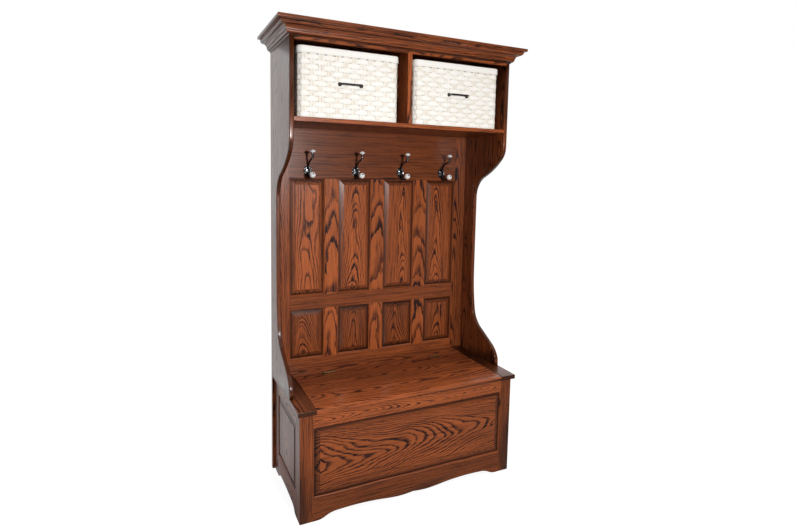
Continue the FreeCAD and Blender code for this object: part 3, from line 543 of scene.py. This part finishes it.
for node, values in boards.items():
    if "_panel" in node and not node.startswith("side"):
        # Raised panels get the painted recess shade, and an Edge factor below one that paints shade on
        # their side bevels.
        values.update(end=0.52, edge=0.74, pool=1.0)
    if "centre" not in values:
        low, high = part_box(node)
        wide = AXES[values["lie"][1]]
        half_strip = values.get("strip", 0.5) / 2
        aim = list(middle(node))
        if values.get("strip", 0.5) >= 0.5:
            aim[wide] -= half_strip
        values["centre"] = tuple(aim)
    dress(curved.get(node, node), board_finish(node, **values))
print("oak boards:", len(boards))

# %% [markdown]
# Boards that hardly show, such as the chest's floor and the panels behind the baskets, are
# plain oak: the same rings without the dark stain's gloss.

# %% Plain boards
for node, lie in (("chest_back_panel", "zxy"), ("cubby_back_panel", "zxy"), ("chest_bottom", "xyz"),
                  ("chest_bottom_cleats", "xyz"), ("lid_battens", "yxz")):
    tone = 0.5 if node == "cubby_back_panel" else 1.5
    dress(node, board_finish(node, lie, tone=tone, strip=0.12, gloss=0.15))

# %% [markdown]
# ## Metal, porcelain and brass
#
# The hooks are cast and darkened, with the dark rubbed thin on their raised rims. A slow noise
# changes how rough the metal is, and a fine one leaves the faint grain of a casting.

# %% Metals


def metal_finish(name, dark, bright, rough, mottle=160.0):
    """Worn metal: two colours mixed by a soft noise, rougher where it is dark."""
    material, tree, shader = new_material(name)
    place = tree.nodes.new("ShaderNodeTexCoord").outputs["Object"]
    wear = ramp(tree, noise(tree, place, mottle, 3.0), 0.42, 0.66)
    link(tree, mix_colour(tree, wear, dark, bright), shader.inputs["Base Color"])
    link(tree, span(tree, wear, rough + 0.14, rough), shader.inputs["Roughness"])
    shader.inputs["Metallic"].default_value = 1.0
    grain = tree.nodes.new("ShaderNodeBump")
    grain.inputs["Strength"].default_value = 0.25
    grain.inputs["Distance"].default_value = 0.0002
    link(tree, noise(tree, place, 900.0, 2.0), grain.inputs["Height"])
    link(tree, grain.outputs["Normal"], shader.inputs["Normal"])
    return material


hook_metal = metal_finish("dark_cast_metal", (0.030, 0.027, 0.026, 1.0),
                          (0.085, 0.080, 0.080, 1.0), 0.26)
rim_metal = metal_finish("rubbed_metal", (0.05, 0.05, 0.052, 1.0), (0.22, 0.225, 0.24, 1.0), 0.20)
pull_metal = metal_finish("dark_pull_metal", (0.045, 0.043, 0.044, 1.0),
                          (0.17, 0.165, 0.165, 1.0), 0.24, 90.0)
brass = metal_finish("old_brass", (0.16, 0.105, 0.045, 1.0), (0.42, 0.29, 0.13, 1.0), 0.30, 120.0)
for node, finish in (("hook_plates", hook_metal), ("hook_arms_upper", hook_metal),
                     ("hook_arms_lower", hook_metal), ("hook_screws", rim_metal),
                     ("hinge_leaves_fixed", brass), ("hinge_leaves_lid", brass),
                     ("hinge_pins", brass), ("hinge_screws_fixed", brass),
                     ("hinge_screws_lid", brass)):
    dress(node, finish)

# %% Porcelain
porcelain, glaze_tree, glaze = new_material("white_porcelain")
glaze_place = glaze_tree.nodes.new("ShaderNodeTexCoord").outputs["Object"]
glaze_tone = ramp(glaze_tree, noise(glaze_tree, glaze_place, 60.0, 3.0), 0.3, 0.7)
link(glaze_tree, mix_colour(glaze_tree, glaze_tone, (0.93, 0.92, 0.90, 1.0),
                            (0.96, 0.955, 0.94, 1.0)), glaze.inputs["Base Color"])
link(glaze_tree, span(glaze_tree, glaze_tone, 0.10, 0.18), glaze.inputs["Roughness"])
glaze.inputs["Coat Weight"].default_value = 0.6
glaze.inputs["Coat Roughness"].default_value = 0.04
glaze.inputs["Subsurface Weight"].default_value = 0.08
glaze.inputs["Subsurface Radius"].default_value = (0.004, 0.003, 0.002)
for node in ("hook_knobs_upper", "hook_knobs_lower"):
    smooth = smooth_copy(node, 50.0)
    dress(smooth, porcelain)

# %% [markdown]
# ## Shapes from two numbers
#
# Most of the remaining pieces are one surface each: a flat section is carried along a path,
# or a profile is turned about an axis. Both are a grid of points, worked out as arrays.

# %% Grid helpers


def grid_faces(rows, columns, close_rows, close_columns):
    """Quads of a grid of rows by columns points. A closed direction joins its end to its start."""
    row_count = rows if close_rows else rows - 1
    column_count = columns if close_columns else columns - 1
    i, j = np.meshgrid(np.arange(row_count), np.arange(column_count), indexing="ij")
    i, j = i.ravel(), j.ravel()
    i2, j2 = (i + 1) % rows, (j + 1) % columns
    return np.stack([i * columns + j, i * columns + j2, i2 * columns + j2, i2 * columns + j], 1)


def new_piece(name, shells, body, material, smooth=True, crease=None):
    """One object from several (points, quads, caps) shells. Its normals are turned outwards."""
    points, faces, start = [], [], 0
    for shell in shells:
        points.append(shell[0])
        faces.extend((shell[1] + start).tolist())
        faces.extend([[value + start for value in cap] for cap in shell[2]])
        start += len(shell[0])
    mesh = bpy.data.meshes.new(name)
    mesh.from_pydata(np.concatenate(points).tolist(), [], faces)
    work = bmesh.new()
    work.from_mesh(mesh)
    bmesh.ops.remove_doubles(work, verts=work.verts, dist=1e-6)
    bmesh.ops.recalc_face_normals(work, faces=work.faces)
    work.to_mesh(mesh)
    work.free()
    if smooth:
        mesh.shade_smooth()
    if crease:
        mesh.set_sharp_from_angle(angle=math.radians(crease))
    mesh.materials.append(material)
    made = bpy.data.objects.new(name, mesh)
    scene.collection.objects.link(made)
    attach(made, body)
    print(name, "faces:", len(mesh.polygons))
    return made


def carried(path, outward, upward, section, closed):
    """A section of (outward, upward) offsets carried along a path: each grid point is the
    path point plus the two offsets along the two directions there."""
    points = (path[:, None, :] + section[None, :, 0:1] * outward[:, None, :]
              + section[None, :, 1:2] * upward[:, None, :])
    rows, columns = points.shape[:2]
    caps = [] if closed else [list(range(columns)),
                              list(range((rows - 1) * columns, rows * columns))]
    return points.reshape(-1, 3), grid_faces(rows, columns, closed, True), caps


def turned(profile, centre, axis, count=28):
    """A profile of (radius, height) turned about an axis through a centre: a point is the
    centre plus the height along the axis plus the radius round it."""
    axis = np.array(axis, float) / np.linalg.norm(axis)
    helper = np.array([1.0, 0.0, 0.0]) if abs(axis[0]) < 0.9 else np.array([0.0, 1.0, 0.0])
    first = np.cross(axis, helper)
    first /= np.linalg.norm(first)
    second = np.cross(axis, first)
    angle = np.linspace(0, 2 * np.pi, count, endpoint=False)
    ring = np.cos(angle)[:, None] * first + np.sin(angle)[:, None] * second
    profile = np.array(profile, float)
    points = (np.array(centre) + profile[:, 1][:, None, None] * axis
              + profile[:, 0][:, None, None] * ring[None])
    rows = len(profile)
    caps = [list(range(count)), list(range((rows - 1) * count, rows * count))]
    return points.reshape(-1, 3), grid_faces(rows, count, False, True), caps


# %% [markdown]
# ## The hooks' small parts
#
# Each hook has a cast rosette under its arms, a turned collar where the stem meets the top
# knob, and a screw through the front of the lower knob. They are too fine for the frame, and
# they make the hooks read as castings.

# %% Where the hooks are
knob_low, knob_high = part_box("hook_knobs_upper")
ball_low, ball_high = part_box("hook_knobs_lower")
ball_radius = (ball_high.z - ball_low.z) / 2
hook_xs = np.linspace(ball_low.x + ball_radius, ball_high.x - ball_radius, 4)
rail_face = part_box("back_hook_rail")[0].y
screw_low, screw_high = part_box("hook_screws")
plate_z = (screw_low.z + screw_high.z) / 2
stem_y = (knob_low.y + knob_high.y) / 2
ball_y = (ball_low.y + ball_high.y) / 2
ball_z = (ball_low.z + ball_high.z) / 2
print("hooks at x:", [round(float(x), 4) for x in hook_xs], "height:", round(plate_z, 4))

# %% Rosettes


def rosette(x, count=64):
    """A lobed oval plate: the edge is an ellipse less a ripple of eight lobes, and the height
    over the oval is a polished rim, a hollow inside it and a boss in the middle."""
    angle = np.linspace(0, 2 * np.pi, count, endpoint=False)
    share = np.array([1.0, 1.0, 0.955, 0.89, 0.82, 0.70, 0.56, 0.44, 0.32])
    lobes = 1.0 - 0.055 * (1.0 - np.cos(8 * angle)) / 2 * 1.6
    rim = 0.0016 * np.exp(-((share - 0.92) / 0.055) ** 2)
    boss = 0.0022 * np.clip(1.0 - (share / 0.62) ** 2, 0, 1)
    height = 0.0041 + rim + boss
    height[0] = 0.0002
    flutes = 0.0007 * np.outer(np.exp(-((share - 0.72) / 0.16) ** 2), np.cos(8 * angle))
    across_plate = 0.0192 * np.outer(share, lobes * np.cos(angle))
    up_plate = 0.0258 * np.outer(share, lobes * np.sin(angle))
    out = rail_face - (height[:, None] + flutes)
    out[0] = rail_face - 0.0002
    points = np.stack([x + across_plate, out, plate_z + up_plate], 2).reshape(-1, 3)
    rows = len(share)
    caps = [list(range(count)), list(range((rows - 1) * count, rows * count))]
    return points, grid_faces(rows, count, False, True), caps


new_piece("hook_rosettes", [rosette(x) for x in hook_xs], "case", rim_metal,
          crease=60)

# %% Collars and knob screws
collar = [(0.0043, 0.0), (0.0058, 0.0006), (0.0058, 0.0020), (0.0046, 0.0028), (0.0046, 0.0052),
          (0.0066, 0.0066), (0.0072, 0.0078), (0.0062, 0.0088)]
new_piece("hook_collars", [turned(collar, (x, stem_y, knob_low.z - 0.0088), (0, 0, 1))
                           for x in hook_xs], "case", rim_metal, crease=40)
sleeve = [(0.0044, 0.0), (0.0056, 0.0010), (0.0056, 0.0040), (0.0049, 0.0055), (0.0049, 0.0130),
          (0.0055, 0.0140)]
new_piece("hook_stem_sleeves", [turned(sleeve, (x, stem_y, knob_low.z - 0.0238), (0, 0, 1))
                                for x in hook_xs], "case", rim_metal, crease=40)
knob_axis = np.array([0.0, -0.93, 0.37])
knob_axis /= np.linalg.norm(knob_axis)
screw_dome = [(0.0030, -0.0012), (0.0030, 0.0002), (0.0024, 0.0009), (0.0012, 0.0012),
              (0.0004, 0.00125)]
new_piece("knob_screws",
          [turned(screw_dome, np.array([x, ball_y, ball_z]) + knob_axis * (ball_radius - 0.0002),
                  knob_axis, 18) for x in hook_xs], "case", hook_metal, crease=50)
ferrule = [(0.0060, -0.0035), (0.0074, -0.0020), (0.0074, 0.0), (0.0060, 0.0012)]
new_piece("knob_ferrules",
          [turned(ferrule, np.array([x, ball_y, ball_z]) - knob_axis * (ball_radius - 0.0006),
                  -knob_axis, 20) for x in hook_xs], "case", hook_metal, crease=40)

# %% [markdown]
# ## The baskets
#
# A basket is woven: twelve flat strips run round it, in front of one upright pair and behind
# the next, and the next row does the opposite. Each strip is a real ribbon here, so the light
# catches every crossing. In and out is a wave along the way round the basket, flattened at
# its tops, where a strip lies against the one it crosses.

# %% Paper strip finish


def strip_finish(name, pale, warm, lie):
    """Twisted-paper strip: a cream colour with fine fibres along it and slow patches."""
    material, tree, shader = new_material(name)
    place = tree.nodes.new("ShaderNodeTexCoord").outputs["Object"]
    fine = noise(tree, stretched(tree, place, lie), 1.0, 3.0, 0.6)
    patch = ramp(tree, noise(tree, place, 34.0, 2.0), 0.35, 0.70)
    tone = mix_colour(tree, patch, pale, warm)
    grey = span(tree, fine, 0.90, 1.08)
    link(tree, mix_colour(tree, 1.0, tone, join_xyz(tree, grey, grey, grey), "MULTIPLY"),
         shader.inputs["Base Color"])
    link(tree, span(tree, fine, 0.55, 0.75), shader.inputs["Roughness"])
    ridges = tree.nodes.new("ShaderNodeBump")
    ridges.inputs["Strength"].default_value = 0.4
    ridges.inputs["Distance"].default_value = 0.0004
    link(tree, fine, ridges.inputs["Height"])
    link(tree, ridges.outputs["Normal"], shader.inputs["Normal"])
    return material


weaver_paint = strip_finish("cream_strip", (0.95, 0.93, 0.88, 1.0), (0.93, 0.89, 0.81, 1.0),
                            (60.0, 60.0, 900.0))
stake_paint = strip_finish("cream_upright", (0.92, 0.88, 0.80, 1.0), (0.86, 0.79, 0.69, 1.0),
                           (900.0, 900.0, 60.0))
rim_paint = strip_finish("cream_rim", (0.95, 0.93, 0.88, 1.0), (0.94, 0.91, 0.85, 1.0),
                         (60.0, 60.0, 700.0))

# %% Round a basket


def round_path(low, high, inset, corner, count, start=0.0):
    """Points round a rectangle with round corners, evenly spaced, and the outward direction
    at each: four straight runs and four quarter circles, read by the length travelled."""
    x0, x1 = low.x + inset + corner, high.x - inset - corner
    y0, y1 = low.y + inset + corner, high.y - inset - corner
    wide, deep, arc = x1 - x0, y1 - y0, corner * np.pi / 2
    lengths = np.array([wide, arc, deep, arc, wide, arc, deep, arc])
    edges = np.concatenate([[0.0], np.cumsum(lengths)])
    travel = (start + np.arange(count) / count * edges[-1]) % edges[-1]
    part = np.clip(np.searchsorted(edges, travel, side="right") - 1, 0, 7)
    share = (travel - edges[part]) / lengths[part]
    corner_x = np.array([x0, x1, x1, x1, x1, x0, x0, x0])
    corner_y = np.array([y0, y0, y0, y1, y1, y1, y1, y0])
    run = part % 2 == 0
    step_x = np.array([wide, 0, 0, 0, -wide, 0, 0, 0])
    step_y = np.array([0, 0, deep, 0, 0, 0, -deep, 0])
    turn = -np.pi / 2 + (part // 2) * np.pi / 2 + np.where(run, 0.0, share * np.pi / 2)
    out = np.stack([np.cos(turn), np.sin(turn)], 1)
    x = corner_x[part] + np.where(run, step_x[part] * share, 0.0) + corner * out[:, 0]
    y = corner_y[part] + np.where(run, step_y[part] * share, 0.0) + corner * out[:, 1]
    return np.stack([x, y], 1), out, edges[-1]


def flat_wave(angle):
    """A cosine with flattened tops: its sign times its size to a power below one."""
    wave = np.cos(angle)
    return np.sign(wave) * np.abs(wave) ** 0.42


def strip_section(wide, thick):
    """A flat strip's section: a thin rectangle with its four corners cut."""
    a, b, c = thick / 2, wide / 2, thick * 0.3
    return np.array([(a, -b + c), (a * 1.12, 0), (a, b - c), (a - c, b), (-a + c, b), (-a, b - c),
                     (-a * 1.12, 0), (-a, -b + c), (-a + c, -b), (a - c, -b)])


# %% Weave one basket
ROWS, STAKES, WAVE, THICK = 12, 40, 0.0015, 0.0012
CORNER = 0.022


def weave(hand):
    """Rows of weavers go round at fixed heights, and pairs of stakes rise through them. At
    stake j and row k the weaver is outside when j + k is even, and the stake inside."""
    body = f"basket_{hand}_body"
    low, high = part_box(f"basket_{hand}")
    rim_low, rim_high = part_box(f"basket_rim_{hand}")
    inset = 0.0024
    weave_top = rim_low.z - 0.0016
    pitch = (weave_top - low.z) / ROWS
    count = STAKES * 10
    centre_line, out, around = round_path(low, high, inset, CORNER, count)
    up = np.tile([0.0, 0.0, 1.0], (count, 1))
    out3 = np.concatenate([out, np.zeros((count, 1))], 1)
    shells = []
    for row in range(ROWS):
        wave = WAVE * flat_wave(np.arange(count) / 10 * np.pi + np.pi * row)
        path = np.concatenate([centre_line + out * wave[:, None],
                               np.full((count, 1), low.z + (row + 0.5) * pitch)], 1)
        shells.append(carried(path, out3, up, strip_section(pitch * 0.95, THICK), True))
    weavers = new_piece(f"basket_{hand}_weavers", shells, body, weaver_paint,
                        crease=50)
    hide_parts(f"basket_{hand}")
    stake_line, stake_out, _ = round_path(low, high, inset, CORNER, STAKES * 40)
    steps = ROWS * 6 + 1
    heights = np.linspace(low.z + 0.0012, rim_low.z + 0.006, steps)
    shells = []
    for stake in range(STAKES):
        wave = -WAVE * flat_wave((heights - low.z) / pitch * np.pi - np.pi / 2 + np.pi * stake)
        for side in (-7, 7):
            index = (stake * 40 + side) % (STAKES * 40)
            across_out = np.array([*stake_out[index], 0.0])
            foot = np.array([*stake_line[index], 0.0])
            path = foot + across_out * wave[:, None] + np.array([0, 0, 1.0]) * heights[:, None]
            sideways = np.array([-across_out[1], across_out[0], 0.0])
            shells.append(carried(path, np.tile(across_out, (steps, 1)),
                                  np.tile(sideways, (steps, 1)), strip_section(0.0118, THICK),
                                  False))
    new_piece(f"basket_{hand}_stakes", shells, body, stake_paint, crease=50)
    rim_line, rim_out, _ = round_path(rim_low, rim_high, 0.0, CORNER + 0.003, 200)
    rim_path = np.concatenate([rim_line, np.full((200, 1), (rim_low.z + rim_high.z) / 2)], 1)
    half = (rim_high.z - rim_low.z) / 2
    section = np.array([(-0.0002, -half + 0.001), (0.0, 0.0), (-0.0004, half * 0.72),
                        (-0.0018, half - 0.0008), (-0.0044, half), (-0.0070, half - 0.0008),
                        (-0.0084, half * 0.72), (-0.0086, 0.0), (-0.0084, -half + 0.001),
                        (-0.0074, -half), (-0.0062, -half + 0.001), (-0.0060, half * 0.5),
                        (-0.0028, half * 0.5), (-0.0026, -half + 0.001), (-0.0014, -half)])
    rim = new_piece(f"basket_{hand}_rim_band",
                    [carried(rim_path, np.concatenate([rim_out, np.zeros((200, 1))], 1),
                             np.tile([0.0, 0.0, 1.0], (200, 1)), section, True)],
                    body, rim_paint, crease=50)
    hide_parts(f"basket_rim_{hand}")
    floor_shells = []
    for number, share in enumerate(np.linspace(0.045, 0.955, 12)):
        x = low.x + 0.006 + share * (high.x - low.x - 0.012)
        y = np.linspace(low.y + 0.006, high.y - 0.006, 81)
        wave = 0.0011 * flat_wave(np.arange(81) / 10 * np.pi + np.pi * number)
        path = np.stack([np.full(81, x), y, low.z + 0.0030 + wave], 1)
        floor_shells.append(carried(path, np.tile([0, 0, 1.0], (81, 1)),
                                    np.tile([1.0, 0, 0], (81, 1)), strip_section(0.031, 0.0010),
                                    False))
    for number, share in enumerate((np.arange(8) + 0.5) / 8):
        y = low.y + 0.006 + share * (high.y - low.y - 0.012)
        x = np.linspace(low.x + 0.006, high.x - 0.006, 121)
        wave = -0.0011 * flat_wave((share * 0 + np.arange(121)) / 10.0 * np.pi + np.pi * number)
        path = np.stack([x, np.full(121, y), low.z + 0.0030 + wave], 1)
        floor_shells.append(carried(path, np.tile([0, 0, 1.0], (121, 1)),
                                    np.tile([0, 1.0, 0], (121, 1)), strip_section(0.030, 0.0010),
                                    False))
    new_piece(f"basket_{hand}_floor", floor_shells, body, stake_paint, crease=50)
    pull = smooth_copy(f"basket_handle_{hand}", 40.0)
    dress(pull, pull_metal)


for hand in ("left", "right"):
    weave(hand)
